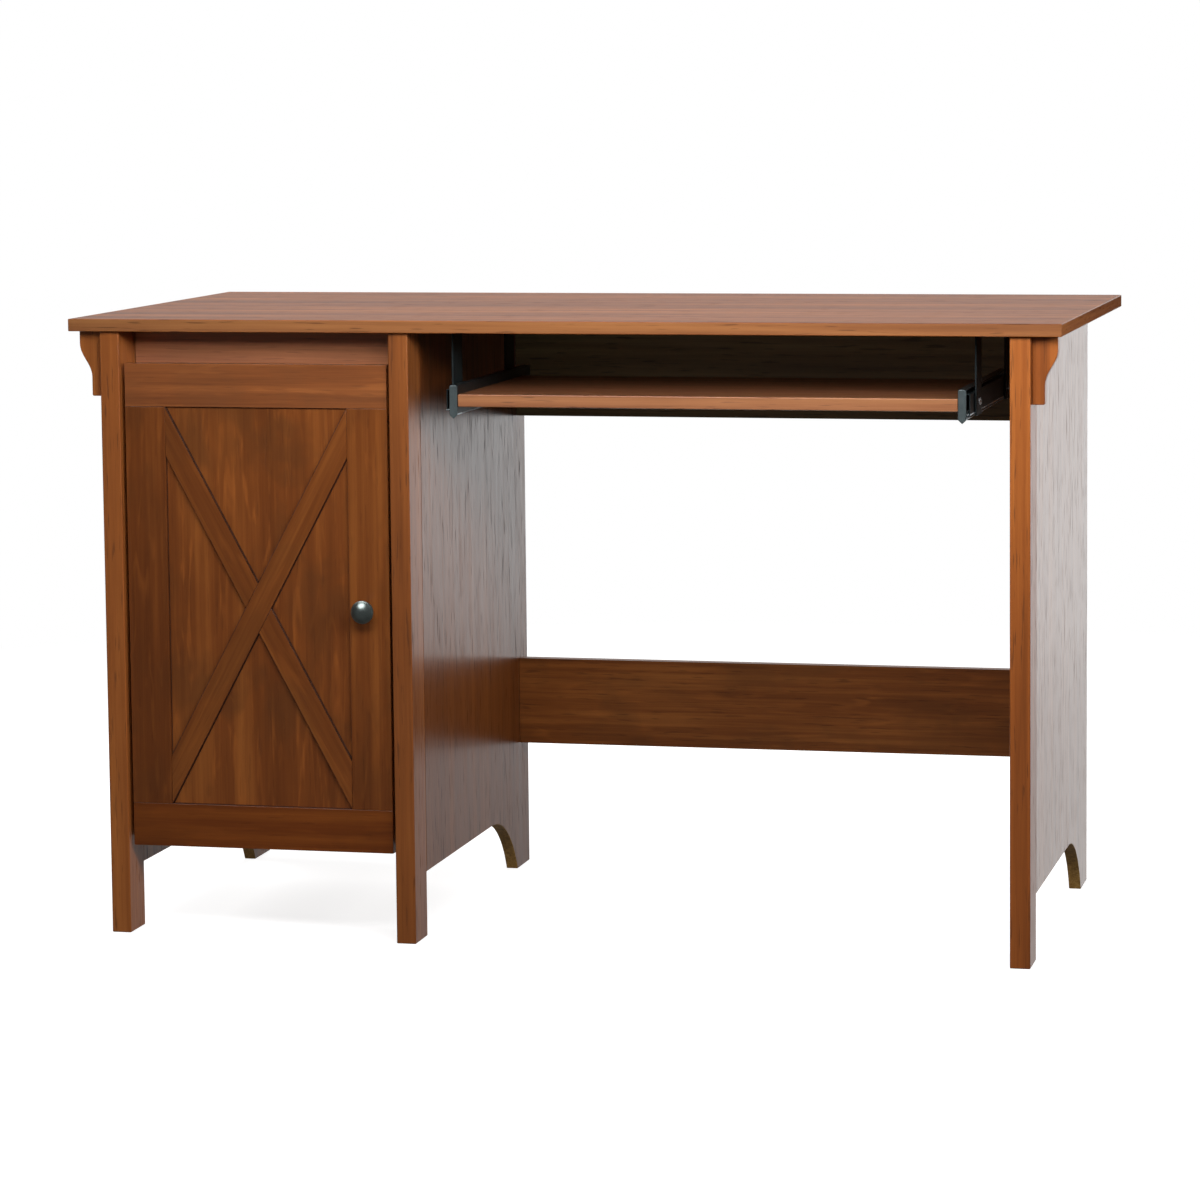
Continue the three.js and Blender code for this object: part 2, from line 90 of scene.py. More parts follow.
class Shader:
    """One material, with a Principled shader that the finishes below fill in."""

    def __init__(self, name):
        self.material = bpy.data.materials.new(name)
        self.material.use_nodes = True
        self.tree = self.material.node_tree
        self.surface = next(n for n in self.tree.nodes if n.type == "BSDF_PRINCIPLED")

    def connect(self, socket, value):
        if isinstance(value, Socket):
            self.tree.links.new(value.link, socket)
        elif value is not None:
            socket.default_value = value

    def node(self, kind, settings=None, inputs=()):
        """Adds a node, sets its properties, then its inputs by name or by order, and gives its outputs."""
        made = self.tree.nodes.new(kind)
        for key, value in (settings or {}).items():
            if key == "stops":
                self.colour_stops(made.color_ramp, value)
            else:
                setattr(made, key, value)
        pairs = inputs.items() if isinstance(inputs, dict) else enumerate(inputs)
        for key, value in pairs:
            self.connect(made.inputs[key], value)
        return [Socket(self, output) for output in made.outputs]

    def colour_stops(self, ramp, stops):
        while len(ramp.elements) < len(stops):
            ramp.elements.new(0.5)
        for element, (place, colour) in zip(ramp.elements, stops):
            element.position = place
            element.color = (*colour, 1.0)

    def place(self, turn=(0, 0, 0), scale=(1, 1, 1), shift=(0, 0, 0)):
        """Object coordinates, shifted, turned and stretched."""
        at = self.node("ShaderNodeTexCoord")[3]
        settings = {"vector_type": "POINT"}
        inputs = {"Vector": at, "Location": shift, "Rotation": turn}
        turned = self.node("ShaderNodeMapping", settings, inputs)[0]
        return self.node("ShaderNodeVectorMath", {"operation": "MULTIPLY"}, [turned, scale])[0]

    def noise(self, vector, scale=1.0, detail=3.0, roughness=0.5, distortion=0.0):
        inputs = {"Vector": vector, "Scale": scale, "Detail": detail,
                  "Roughness": roughness, "Distortion": distortion}
        return self.node("ShaderNodeTexNoise", {"normalize": True}, inputs)[0]

    def ramp(self, value, stops):
        return self.node("ShaderNodeValToRGB", {"stops": stops}, [value])[0]

    def grey(self, value, low, high):
        """Value moved from the span low to high onto 0 to 1, and held there."""
        span = {"Value": value, "From Min": low, "From Max": high, "To Min": 0.0, "To Max": 1.0}
        return self.node("ShaderNodeMapRange", {"clamp": True}, span)[0]

    def mix(self, factor, first, second, blend="MIX"):
        made = self.tree.nodes.new("ShaderNodeMix")
        made.data_type = "RGBA"
        made.blend_type = blend
        self.connect(made.inputs[0], factor)
        self.connect(made.inputs[6], first)
        self.connect(made.inputs[7], second)
        return Socket(self, made.outputs[2])

    def bump(self, height, distance, strength=1.0):
        inputs = {"Height": height, "Distance": distance, "Strength": strength}
        return self.node("ShaderNodeBump", {}, inputs)[0]

    def finish(self, **values):
        for name, value in values.items():
            self.connect(self.surface.inputs[name.replace("_", " ")], value)
        return self.material


# ---- finishes ----
GRAIN_TURN = {"X": (0, math.pi / 2, 0), "Y": (math.pi / 2, 0, 0), "Z": (0, 0, 0)}
WOOD_DARK = (0.130, 0.040, 0.012)
WOOD_MIDDLE = (0.235, 0.074, 0.019)
WOOD_LIGHT = (0.37, 0.132, 0.033)


def laminate(name, grain="Z", turn=None, shift=(0, 0, 0), tint=(1, 1, 1), gloss=0.36, coat=0.6,
             blotch=1.0, contrast=1.0, pore=0.5, ticking=0.3, flame=0.0, specular=0.3, front=None):
    """Wood-grain film under a clear coat.

    The tone is a sum of long streaks, a finer figure and fibres, all stretched along the grain, and
    wide stain clouds. Patches of the stain are darker and less red, and wavy flames are lighter. Short
    pores are darker and sunk, and the coat is thinner over the pores and over fine ticking. Where
    front gives a y and a tint, the film ahead of that y has that tint instead.
    """
    shader = Shader(name)
    turn = turn or GRAIN_TURN[grain]
    streaks = shader.noise(shader.place(turn, (26, 26, 0.9), shift), 1.0, 3.0, 0.55, 0.6)
    figure = shader.noise(shader.place(turn, (110, 110, 2.0), shift), 1.0, 3.0, 0.6, 0.3)
    fibres = shader.noise(shader.place(turn, (700, 700, 14), shift), 1.0, 2.0, 0.6)
    clouds = shader.noise(shader.place(turn, (7, 7, 2.6), shift), 1.0, 3.0, 0.55, 0.8)
    pore_field = shader.noise(shader.place(turn, (420, 420, 26), shift), 1.0, 1.0, 0.4)
    pores = shader.grey(pore_field, 0.64, 0.72)
    tone = streaks * 0.42 + figure * 0.33 + clouds * (0.25 * blotch) + fibres * 0.12
    middle = 0.5 * (0.42 + 0.33 + 0.12 + 0.25 * blotch)
    half = 0.17 / contrast
    spread = shader.grey(tone, middle - half, middle + half)
    stops = [(0.0, WOOD_DARK), (0.5, WOOD_MIDDLE), (1.0, WOOD_LIGHT)]
    colour = shader.ramp(spread, stops)
    if flame:
        wavy = shader.noise(shader.place(turn, (75, 75, 9), shift), 1.0, 2.0, 0.5, 1.2)
        lit = shader.grey(wavy, 0.56, 0.72) * flame
        colour = shader.mix(lit, colour, (0.46, 0.155, 0.036, 1))
        patches = shader.noise(shader.place(turn, (14, 14, 9), shift), 1.0, 3.0, 0.6, 0.5)
        dull = shader.grey(patches, 0.47, 0.64) * (flame * 0.9)
        colour = shader.mix(dull, colour, (0.115, 0.048, 0.018, 1))
    colour = shader.mix(pores * pore, colour, (0.05, 0.02, 0.01, 1))
    film = shader.mix(1.0, colour, (*tint, 1), "MULTIPLY")
    # Painted light: a front tint stands in for light or shade on the face ahead of that y.
    if front:
        start, painted_light_tint = front
        y = shader.node("ShaderNodeSeparateXYZ", {}, [shader.place()])[1]
        ahead = shader.mix(1.0, colour, (*painted_light_tint, 1), "MULTIPLY")
        film = shader.mix(shader.grey(y, start, start + 2 * MM), ahead, film)
    rough = gloss + fibres * 0.10 + pores * 0.25 - 0.05
    brushed = shader.noise(shader.place(turn, (460, 460, 12), shift), 1.0, 3.0, 0.6)
    thin = shader.grey(brushed * 0.7 + figure * 0.3, 0.44, 0.60)
    coating = coat * (1.0 - pores * 0.8) * (1.0 - thin * ticking)
    normal = shader.bump(fibres * 0.5 + figure * 0.3 - pores * 1.0, 0.00012, 0.35)
    return shader.finish(Base_Color=film, Roughness=rough, Normal=normal, Specular_IOR_Level=specular,
                         Coat_Weight=coating, Coat_Roughness=0.22)


def raw_board():
    """The sawn edge of chipboard: golden chips of many sizes, matt."""
    shader = Shader("raw chipboard edge")
    chips = shader.noise(shader.place(scale=(420, 420, 420)), 1.0, 4.0, 0.7)
    flakes = shader.noise(shader.place(scale=(150, 150, 150)), 1.0, 2.0, 0.6)
    stops = [(0.3, (0.16, 0.075, 0.02)), (0.55, (0.42, 0.23, 0.065)), (0.75, (0.62, 0.42, 0.17))]
    colour = shader.ramp(chips * 0.6 + flakes * 0.4, stops)
    return shader.finish(Base_Color=colour, Roughness=0.85, Normal=shader.bump(chips, 0.0004, 0.6))


def hardboard():
    """Pressed fibreboard with a printed brown face: a fine even felt of fibres."""
    shader = Shader("hardboard")
    felt = shader.noise(shader.place(scale=(900, 900, 900)), 1.0, 4.0, 0.7)
    cloud = shader.noise(shader.place(scale=(14, 14, 5)), 1.0, 3.0, 0.5)
    stops = [(0.3, (0.13, 0.060, 0.026)), (0.7, (0.24, 0.120, 0.054))]
    colour = shader.ramp(felt * 0.5 + cloud * 0.5, stops)
    return shader.finish(Base_Color=colour, Roughness=0.78, Normal=shader.bump(felt, 0.0002, 0.5))


def coated_steel(name, colour, metal, rough, fleck=0.25):
    """Pressed steel under a thin satin coat: faint orange peel, rubbed patches and tiny flecks."""
    shader = Shader(name)
    peel = shader.noise(shader.place(scale=(900, 900, 900)), 1.0, 2.0, 0.5)
    wear_and_sheen = shader.noise(shader.place(scale=(30, 9, 30)), 1.0, 4.0, 0.6)
    bright = tuple(min(1.0, c * (1 + fleck)) for c in colour)
    dull = tuple(c * (1 - fleck) for c in colour)
    tone = shader.ramp(wear_and_sheen * 0.7 + peel * 0.3, [(0.35, dull), (0.65, bright)])
    roughness = wear_and_sheen * 0.18 + (rough - 0.09)
    normal = shader.bump(peel, 0.00006, 0.4)
    return shader.finish(Base_Color=tone, Roughness=roughness, Metallic=metal, Normal=normal)


def brushed_steel(name, colour, rough, metal=0.55, stretch=(60, 900, 900)):
    """Dull plated metal with short brushed lines across it."""
    shader = Shader(name)
    lines = shader.noise(shader.place(scale=stretch), 1.0, 3.0, 0.6)
    cloud = shader.noise(shader.place(scale=(120, 120, 120)), 1.0, 3.0, 0.5)
    dark = tuple(c * 0.75 for c in colour)
    tone = shader.ramp(lines * 0.5 + cloud * 0.5, [(0.35, dark), (0.65, colour)])
    roughness = lines * 0.2 + (rough - 0.1)
    normal = shader.bump(lines, 0.00004, 0.4)
    return shader.finish(Base_Color=tone, Roughness=roughness, Metallic=metal, Normal=normal)


FILM_UPRIGHT = laminate("laminate on door stiles", "Z", tint=(0.73, 0.64, 0.53), pore=0.25, flame=0.3)
# Painted light: the legs are lit and shaded copies of one laminate. Each leg's tint stands in for the light
# that falls on it, and each corbel takes its leg's film.
FILM_LEG = laminate("laminate on legs", "Z", shift=(3.1, 0.4, 0.7), tint=(1.10, 1.07, 1.05),
                    blotch=0.6, coat=0.4)
FILM_LEG_LEFT = laminate("laminate on left leg", "Z", shift=(4.4, 1.4, 0.1), tint=(1.42, 1.36, 1.26),
                         blotch=0.6, coat=0.4)
FILM_LEG_RIGHT = laminate("laminate on right leg", "Z", shift=(1.9, 0.8, 3.3), tint=(1.34, 1.20, 1.02),
                          blotch=0.6, coat=0.4)
# Painted light: the gables are lit and shaded copies of one laminate. The outer gables are tinted paler, and
# the middle gable is tinted darker to stand in for the shade inside the bay.
FILM_SIDE = laminate("laminate on gables", "Z", shift=(0.9, 1.7, 2.2), tint=(1.15, 1.15, 1.15),
                     gloss=0.3, coat=0.66, blotch=0.5, pore=0.7, ticking=0.42)
FILM_MIDDLE_SIDE = laminate("laminate on middle gable", "Z", shift=(2.8, 0.6, 1.5), tint=(0.74, 0.68, 0.60),
                            gloss=0.3, coat=0.59, blotch=0.5, pore=0.7, ticking=0.7)
FILM_LEVEL = laminate("laminate, grain level", "X")
FILM_TRAY = laminate("laminate on tray", "X", shift=(0.6, 0.2, 1.9), tint=(1.15, 1.4, 2.4), blotch=0.4)
# Painted light: the apron's pale pinkish tint stands in for the low front light on this board, which is set
# back under the top.
FILM_APRON = laminate("laminate on apron", "X", shift=(2.6, 3.1, 0.4), tint=(2.2, 2.7, 4.8),
                      blotch=0.6, pore=0.3)
# Painted light: the door rails are lit and shaded copies. The upper rail is tinted lighter and the lower rail
# darker, because light falls from above.
FILM_DOOR_TOP = laminate("laminate on upper door rail", "X", shift=(2.2, 0.3, 4.4),
                         tint=(1.20, 1.20, 1.38), pore=0.25, flame=0.22)
FILM_DOOR_FOOT = laminate("laminate on lower door rail", "X", shift=(3.7, 1.3, 2.4),
                          tint=(0.66, 0.50, 0.32), pore=0.25, flame=0.25)
FILM_STRETCHER = laminate("laminate on stretcher", "X", shift=(0.2, 1.2, 2.9), tint=(0.76, 0.74, 0.72),
                          contrast=1.4, pore=0.4, flame=0.35)
FILM_TOP = laminate("laminate on top", "X", shift=(0.3, 2.4, 1.1), tint=(1.2, 1.14, 1.08), gloss=0.44,
                    coat=0.35, blotch=0.5, contrast=1.6, pore=0.8, ticking=0.55)
FILM_TOP_EDGE = laminate("laminate on top's edge", "X", shift=(1.1, 0.4, 2.7), tint=(1.00, 1.16, 1.55),
                         gloss=0.6, coat=0.04, blotch=0.8)
FILM_TOP_END = laminate("laminate on top's ends", "Y", shift=(0.7, 3.4, 1.9), tint=(1.3, 1.3, 1.5),
                        gloss=0.8, coat=0.0, blotch=0.8, specular=0.05)
FILM_PANEL = laminate("laminate on door panel", "Z", shift=(5.3, 1.2, 0.2), tint=(0.82, 0.72, 0.60),
                      blotch=1.6, contrast=0.95, pore=0.2, flame=0.5)
# Painted light: ahead of the modesty panel's front face the film is tinted paler and greener, standing in for
# the greenish reflection on that face in the shaded bay.
BEHIND_MODESTY_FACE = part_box("modesty_panel")[0].y + 0.5 * MM
FILM_MODESTY = laminate("laminate on modesty panel", "X", shift=(1.3, 4.2, 0.9), blotch=0.8,
                        front=(BEHIND_MODESTY_FACE, (1.0, 2.4, 4.5)))
RAW = raw_board()
HARDBOARD = hardboard()
GUNMETAL = coated_steel("gunmetal coat", (0.022, 0.030, 0.032), 0.5, 0.42)
SLIDE_GREY = coated_steel("slide grey", (0.10, 0.125, 0.13), 0.5, 0.38)
RAIL_STEEL = coated_steel("slide rail coat", (0.035, 0.048, 0.052), 0.7, 0.34)
# painted highlight: a pale finish standing in for light caught along the rails' bottom rim
RIM_HIGHLIGHT = coated_steel("painted highlight on rail rim", (0.62, 0.70, 0.74), 0.0, 0.4)
# painted shade: a dark finish standing in for the shade in the recesses beside the door's frame and braces
GROOVE_SHADE = coated_steel("painted shade in the grooves", (0.045, 0.015, 0.007), 0.0, 0.6)
ZINC = brushed_steel("zinc plate", (0.46, 0.49, 0.50), 0.38)
NICKEL = brushed_steel("nickel plate", (0.66, 0.67, 0.68), 0.25)
PEWTER = coated_steel("dark pewter", (0.23, 0.27, 0.26), 0.85, 0.3)


# ---- meshes ----
def mesh_object(name, points, faces, finishes, finish_of=None, smooth_of=None):
    """Puts arrays of points and faces into a new object at the origin."""
    mesh = bpy.data.meshes.new(name)
    mesh.from_pydata(points.tolist(), [], faces)
    for finish in finishes:
        mesh.materials.append(finish)
    if finish_of is not None:
        mesh.polygons.foreach_set("material_index", np.asarray(finish_of, np.int32))
    if smooth_of is not None:
        mesh.polygons.foreach_set("use_smooth", np.asarray(smooth_of, bool))
    mesh.validate()
    made = bpy.data.objects.new(name, mesh)
    bpy.context.scene.collection.objects.link(made)
    return made


def grid_faces(rows, columns):
    """Quads of a grid of rows by columns that closes on itself across the columns."""
    row, column = np.meshgrid(np.arange(rows - 1), np.arange(columns), indexing="ij")
    after = (column + 1) % columns
    quads = [row * columns + column, row * columns + after,
             (row + 1) * columns + after, (row + 1) * columns + column]
    return np.stack(quads, axis=-1).reshape(-1, 4)


def inset(outline, distance):
    """A closed anticlockwise outline moved inwards: each point goes along the mitre of its two edges."""
    before = outline - np.roll(outline, 1, axis=0)
    after = np.roll(outline, -1, axis=0) - outline
    before = before / np.linalg.norm(before, axis=1)[:, None]
    after = after / np.linalg.norm(after, axis=1)[:, None]
    turned = np.stack([-(before + after)[:, 1], (before + after)[:, 0]], axis=1)
    inward = np.stack([-before[:, 1], before[:, 0]], axis=1)
    return outline + distance * turned / (turned * inward).sum(axis=1)[:, None]


def eased_rectangle(low, high, radius, steps=4):
    """A rectangle whose corners are quarter circles: corner centre + radius (cos a, sin a)."""
    angles = np.radians(np.linspace(0, 90, steps + 1))
    centres = [(high[0] - radius, high[1] - radius), (low[0] + radius, high[1] - radius),
               (low[0] + radius, low[1] + radius), (high[0] - radius, low[1] + radius)]
    arcs = [np.stack([c[0] + radius * np.cos(angles + q * math.pi / 2),
                      c[1] + radius * np.sin(angles + q * math.pi / 2)], axis=1)
            for q, c in enumerate(centres)]
    return np.concatenate(arcs)


def slab(name, outline, run, start, end, ease, finishes, finish_of_edge=None, finish_of_caps=0, steps=3):
    """An outline carried straight along one axis, with its rims rounded.

    Near each end the outline is inset by ease (1 - sin a) at ease (1 - cos a) from the end face, for a
    from 0 to 90 degrees, so that the rim is a quarter circle.
    """
    a, b = ACROSS[run]
    angles = np.radians(np.linspace(0, 90, steps + 1))
    insets = ease * (1 - np.sin(angles))
    depths = ease * (1 - np.cos(angles))
    rings = [(start + d, i) for d, i in zip(depths, insets)]
    rings += [(end - d, i) for d, i in zip(depths[::-1], insets[::-1])]
    count = len(outline)
    points = np.zeros((len(rings), count, 3))
    for ring, (place, inward) in enumerate(rings):
        loop = inset(outline, inward)
        points[ring, :, a] = loop[:, 0]
        points[ring, :, b] = loop[:, 1]
        points[ring, :, INDEX[run]] = place
    faces = grid_faces(len(rings), count)
    if run == "Y":
        faces = faces[:, ::-1]
    first, last = list(range(count)), list(range((len(rings) - 1) * count, len(rings) * count))
    caps = [first[::-1], last] if run != "Y" else [first, last[::-1]]
    edge = np.tile(np.arange(count), len(rings) - 1)
    lengths = np.linalg.norm(np.roll(outline, -1, axis=0) - outline, axis=1)
    middle_ring = np.repeat(np.arange(len(rings) - 1) == steps, count)
    smooth = ~(middle_ring & (lengths[edge] > 5 * ease))
    finish_of = [0] * (len(faces) + 2)
    if finish_of_edge is not None:
        finish_of = np.concatenate([np.asarray(finish_of_edge)[edge], [finish_of_caps] * 2])
    return mesh_object(name, points.reshape(-1, 3), [*faces.tolist(), *caps], finishes,
                       finish_of, np.concatenate([smooth, [False, False]]))


def adopt(piece, body, slot, *nodes):
    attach(piece, body)
    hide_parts(*nodes)
    return piece


BODY_OF = {node: body for body, nodes in frame["record"]["behaviour"]["bodies"].items() for node in nodes}
SLOT_OF = {part["node"]: part["material_slot"] for part in frame["record"]["subparts"]}


FRONT_EDGE = 9          # the outline edge of an eased rectangle that faces forward, on a run along X


def board(node, run, finish, ease=0.9 * MM, front_finish=None, end_finish=None, grow=(0, 0, 0)):
    """A rectangular board in its node's box, grown on each side, with its outline across the run."""
    low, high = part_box(node)
    low, high = low - Vector(grow), high + Vector(grow)
    a, b = ACROSS[run]
    i = INDEX[run]
    outline = eased_rectangle((low[a], low[b]), (high[a], high[b]), ease * 1.05)
    finishes = [finish, front_finish or finish, end_finish or finish]
    edges = [int(edge == FRONT_EDGE) for edge in range(len(outline))]
    piece = slab(f"{node}_board", outline, run, low[i], high[i], ease, finishes, edges, finish_of_caps=2)
    return adopt(piece, BODY_OF[node], SLOT_OF[node], node)


# ---- boards ----
BACK_GROWTH = 0.27 * MM         # closes most of the gap round the back, which would show the backdrop


def make_boards():
    board("desktop", "X", FILM_TOP, 1.0 * MM, front_finish=FILM_TOP_EDGE, end_finish=FILM_TOP_END)
    for side, film in (("left", FILM_LEG_LEFT), ("middle", FILM_LEG), ("right", FILM_LEG_RIGHT)):
        board(f"front_leg_{side}", "Z", film, 1.2 * MM)
    for node in ("cupboard_floor", "cupboard_shelf", "cupboard_back_rail"):
        board(node, "X", FILM_LEVEL)
    board("cupboard_apron", "X", FILM_APRON)
    board("keyboard_tray", "X", FILM_TRAY, 1.3 * MM)
    board("cupboard_back", "Z", HARDBOARD, 0.4 * MM, grow=(BACK_GROWTH, 0, BACK_GROWTH))
    board("door_rail_top", "X", FILM_DOOR_TOP, 0.3 * MM)
    board("door_rail_bottom", "X", FILM_DOOR_FOOT, 0.3 * MM)
    board("door_stile_left", "Z", FILM_UPRIGHT, 0.3 * MM)
    board("door_stile_right", "Z", FILM_UPRIGHT, 0.3 * MM)


NOTCH_HEIGHT = 79 * MM
NOTCH_RADIUS = 138 * MM
REAR_FOOT = 62 * MM


def make_gable(side):
    """A board whose foot is cut away: level at the notch height, then down a circle to the rear foot.

    The circle's centre lies one radius below the notch height, so its point at height 0 is
    sqrt(radius^2 - centre^2) behind the centre. The sawn arc shows raw chipboard.
    """
    low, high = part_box(f"gable_{side}")
    centre_z = NOTCH_HEIGHT - NOTCH_RADIUS
    reach = math.sqrt(NOTCH_RADIUS ** 2 - centre_z ** 2)
    foot_front = high.y - REAR_FOOT
    centre_y = foot_front - reach
    angles = np.linspace(math.pi / 2, math.atan2(-centre_z, reach), 25)
    circle = np.stack([np.cos(angles), np.sin(angles)], axis=1)
    arc = (centre_y, centre_z) + NOTCH_RADIUS * circle
    corners = np.array([(high.y, 0.0), (high.y, high.z), (low.y, high.z), (low.y, NOTCH_HEIGHT)])
    outline = np.concatenate([corners, arc])
    sawn = np.zeros(len(outline), int)
    sawn[len(corners):-1] = 1
    film = FILM_MIDDLE_SIDE if side == "middle" else FILM_SIDE
    piece = slab(f"gable_{side}_board", outline, "X", low.x, high.x, 0.6 * MM, [film, RAW], sawn)
    adopt(piece, "desk", SLOT_OF[f"gable_{side}"], f"gable_{side}")


CORBEL_UPPER_STRAIGHT = 15 * MM
CORBEL_CURVE = 41 * MM
CORBEL_LOWER_REACH = 15 * MM
CORBEL_TOE = 2 * MM
CLEARANCE = 0.3 * MM            # what touching pieces keep between them


def make_corbel(side, outward, film):
    """A bracket whose outer edge is a cubic Bezier S between two upright stretches, with a rounded toe."""
    low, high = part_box(f"corbel_{side}")
    face, upper = (low.x, high.x) if outward > 0 else (high.x, low.x)
    wall = face - outward * CLEARANCE
    lower = wall + outward * CORBEL_LOWER_REACH
    bend = high.z - CORBEL_UPPER_STRAIGHT
    foot = bend - CORBEL_CURVE
    t = np.linspace(0, 1, 17)[:, None]
    handles = np.array([(upper, bend), (upper, bend - CORBEL_CURVE * 0.4),
                        (lower, foot + CORBEL_CURVE * 0.4), (lower, foot)])
    curve = ((1 - t) ** 3 * handles[0] + 3 * (1 - t) ** 2 * t * handles[1]
             + 3 * (1 - t) * t ** 2 * handles[2] + t ** 3 * handles[3])
    angles = np.radians(np.linspace(0, 90, 5))
    rounded = np.stack([lower - outward * CORBEL_TOE * (1 - np.cos(angles)),
                        low.z + CORBEL_TOE * (1 - np.sin(angles))], axis=1)
    outline = np.concatenate([[(face, high.z), (upper, high.z)], curve, rounded, [(face, low.z)]])
    if outward > 0:
        outline = outline[::-1]
    piece = slab(f"corbel_{side}_bracket", outline, "Y", low.y, high.y, 0.8 * MM, [film])
    adopt(piece, "desk", SLOT_OF[f"corbel_{side}"], f"corbel_{side}")


# ---- door ----
POCKET_DEPTH = 8.5 * MM
POCKET_HEIGHT = 19 * MM
HINGE_FROM_END = 100 * MM
BRACE_WIDTH = 28 * MM
BRACE_LONG_EDGES = {"long": (0, 2), "upper": (1, 3), "lower": (1, 3)}


def make_door_panel():
    """A flat panel with a square pocket for each hinge cut into its left edge."""
    low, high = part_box("door_panel")
    outline = [(high.x, low.z), (high.x, high.z), (low.x, high.z)]
    for middle in (high.z - HINGE_FROM_END, low.z + HINGE_FROM_END):
        for step, depth in ((1, 0), (1, POCKET_DEPTH), (-1, POCKET_DEPTH), (-1, 0)):
            outline.append((low.x + depth, middle + step * POCKET_HEIGHT / 2))
    outline.append((low.x, low.z))
    piece = slab("door_panel_board", np.array(outline), "Y", low.y, high.y, 0.4 * MM, [FILM_PANEL])
    adopt(piece, "door", SLOT_OF["door_panel"], "door_panel")


def brace_outlines():
    """Two crossing bars. A bar's upper edge starts in a corner of the frame, so its lean is the
    diagonal's angle plus asin(half the width / half the diagonal). The crossing bar stops at the long one."""
    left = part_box("door_stile_left")[1].x + CLEARANCE
    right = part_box("door_stile_right")[0].x - CLEARANCE
    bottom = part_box("door_rail_bottom")[1].z + CLEARANCE
    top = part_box("door_rail_top")[0].z - CLEARANCE
    half_w, half_h = (right - left) / 2, (top - bottom) / 2
    centre = np.array([(left + right) / 2, (bottom + top) / 2])
    lean = math.atan2(half_w, half_h) + math.asin(BRACE_WIDTH / 2 / math.hypot(half_w, half_h))
    on_stile = BRACE_WIDTH / math.sin(lean)

    def meet(side, edge):
        across = edge * BRACE_WIDTH / 2
        reach = (BRACE_WIDTH / 2 + CLEARANCE + across * math.cos(2 * lean)) / math.sin(2 * lean)
        return (side * (math.cos(lean) * across - math.sin(lean) * reach),
                side * (math.cos(lean) * reach + math.sin(lean) * across))

    outlines = {
        "long": [(half_w, half_h), (-half_w, -half_h + on_stile),
                 (-half_w, -half_h), (half_w, half_h - on_stile)],
        "upper": [(-half_w, half_h), (-half_w, half_h - on_stile), meet(1, -1), meet(1, 1)],
        "lower": [(half_w, -half_h), (half_w, -half_h + on_stile), meet(-1, -1), meet(-1, 1)],
    }
    return {name: centre + np.array(points) for name, points in outlines.items()}, lean


def make_braces():
    outlines, lean = brace_outlines()
    for name, points in outlines.items():
        low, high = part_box(f"door_brace_{name}")
        turn = -lean if name == "long" else lean
        film = laminate(f"laminate on {name} brace", turn=(0, turn, 0), shift=(0.7, 2.9, 1.3),
                        tint=(0.76, 0.68, 0.57), blotch=0.9, pore=0.2, flame=0.25)
        # painted shade: the braces' long side faces take the dark groove finish
        shaded_edges = [int(edge in BRACE_LONG_EDGES[name]) for edge in range(4)]
        piece = slab(f"door_brace_{name}_bar", points, "Y", low.y, high.y, 0.3 * MM, [film, GROOVE_SHADE], shaded_edges)
        adopt(piece, "door", SLOT_OF[f"door_brace_{name}"], f"door_brace_{name}")


GROOVE_WIDTH = 1.2 * MM
GROOVE_DEPTH = 0.15 * MM


def make_grooves():
    """Painted shade: dark lines on the panel beside the frame and the braces, standing in for the shade in
    the recess.

    Each line is a thin flat bar: its long side lies on an edge from a to b, and its width is measured
    along the edge's normal, on the side of the open panel.
    """
    outlines, _ = brace_outlines()
    low = np.array([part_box("door_stile_left")[1].x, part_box("door_rail_bottom")[1].z])
    high = np.array([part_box("door_stile_right")[0].x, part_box("door_rail_top")[0].z])
    opening = np.array([low, (high[0], low[1]), high, (low[0], high[1])])
    starts, ends = [opening], [np.roll(opening, -1, axis=0)]
    for name, loop in outlines.items():
        first, second = BRACE_LONG_EDGES[name]
        starts.append(loop[[(first + 1) % 4, (second + 1) % 4]])
        ends.append(loop[[first, second]])
    a, b = np.concatenate(starts), np.concatenate(ends)
    along = (b - a) / np.linalg.norm(b - a, axis=1)[:, None]
    left = np.stack([-along[:, 1], along[:, 0]], axis=1) * GROOVE_WIDTH
    flat = np.stack([a, b, b + left, a + left], axis=1)
    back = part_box("door_panel")[0].y
    points = np.zeros((len(a), 2, 4, 3))
    points[..., 0] = flat[:, None, :, 0]
    points[..., 2] = flat[:, None, :, 1]
    points[:, 0, :, 1] = back - GROOVE_DEPTH
    points[:, 1, :, 1] = back
    sides = np.array([[0, 1, 2, 3], [7, 6, 5, 4], [0, 4, 5, 1], [1, 5, 6, 2], [2, 6, 7, 3], [3, 7, 4, 0]])
    faces = (sides[None] + 8 * np.arange(len(a))[:, None, None]).reshape(-1, 4)
    lines = mesh_object("door_groove_lines", points.reshape(-1, 3), faces.tolist(), [GROOVE_SHADE])
    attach(lines, "door")


